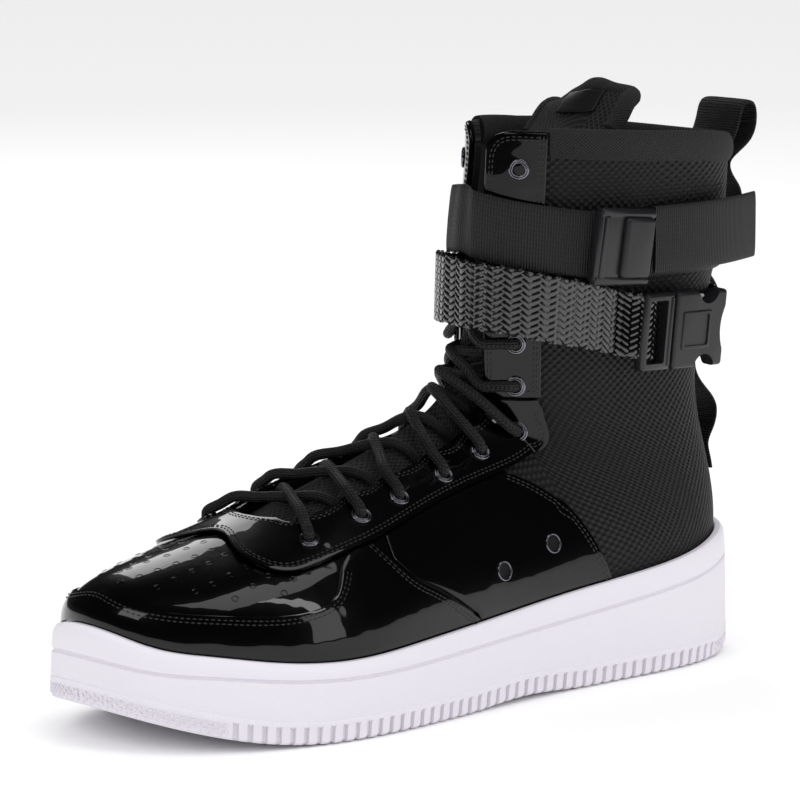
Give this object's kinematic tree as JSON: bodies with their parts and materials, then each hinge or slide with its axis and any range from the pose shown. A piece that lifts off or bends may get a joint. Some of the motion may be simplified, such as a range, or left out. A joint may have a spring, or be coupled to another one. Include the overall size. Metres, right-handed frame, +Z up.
{
  "type": "high-top boot",
  "caption": "Black high-top boot on a white rubber cup sole, laced at the instep, with a webbing strap and a braided strap round the ankle and a wavy webbing pull strip at the heel.",
  "frame": {"origin": "on the floor under the middle of the heel's flat, 45 mm in front of the back of the sole", "axes": "+Z up from the floor, -Y towards the toe, +X to the outer side of the foot"},
  "size_m": [0.1081, 0.3156, 0.2205],
  "materials": {
    "white_rubber": "satin, lightly pebbled",
    "patent_leather": "high gloss",
    "woven_nylon": "coarse woven",
    "collar_knit": "ribbed knit",
    "braided_cord": "braided, slightly glossy",
    "ribbed_webbing": "ribbed",
    "moulded_plastic": "fine grain",
    "black_metal": "glossy",
    "foot_bed": "matt"
  },
  "bodies": {
    "root": {"sole": "white_rubber", "insole": "foot_bed", "upper": "woven_nylon", "tongue": "woven_nylon", "toe_overlay": "patent_leather", "quarter_outer": "patent_leather", "quarter_inner": "patent_leather", "lower_eyestay": "patent_leather", "shaft_eyestay_outer": "patent_leather", "shaft_eyestay_inner": "patent_leather", "collar_binding": "collar_knit", "vent_outer_1": "black_metal", "vent_outer_2": "black_metal", "vent_inner_1": "black_metal", "vent_inner_2": "black_metal", "eyelet_outer_01": "black_metal", "eyelet_outer_02": "black_metal", "eyelet_outer_03": "black_metal", "eyelet_outer_04": "black_metal", "eyelet_outer_05": "black_metal", "eyelet_outer_06": "black_metal", "eyelet_outer_07": "black_metal", "eyelet_outer_08": "black_metal", "eyelet_outer_09": "black_metal", "eyelet_outer_10": "black_metal", "eyelet_outer_11": "black_metal", "eyelet_outer_12": "black_metal", "eyelet_inner_01": "black_metal", "eyelet_inner_02": "black_metal", "eyelet_inner_03": "black_metal", "eyelet_inner_04": "black_metal", "eyelet_inner_05": "black_metal", "eyelet_inner_06": "black_metal", "eyelet_inner_07": "black_metal", "eyelet_inner_08": "black_metal", "eyelet_inner_09": "black_metal", "eyelet_inner_10": "black_metal", "eyelet_inner_11": "black_metal", "eyelet_inner_12": "black_metal", "lace_crossing_1": "braided_cord", "lace_crossing_2": "braided_cord", "lace_crossing_3": "braided_cord", "lace_crossing_4": "braided_cord", "lace_crossing_5": "braided_cord", "lace_crossing_6": "braided_cord", "lace_crossing_7": "braided_cord", "lace_crossing_8": "braided_cord", "top_strap": "ribbed_webbing", "top_strap_tail": "ribbed_webbing", "braided_strap": "braided_cord", "heel_strip": "ribbed_webbing", "cam_buckle_frame": "moulded_plastic", "cam_buckle_lever": "moulded_plastic", "release_buckle_frame": "moulded_plastic", "release_buckle_socket": "moulded_plastic"}
  },
  "joints": []
}
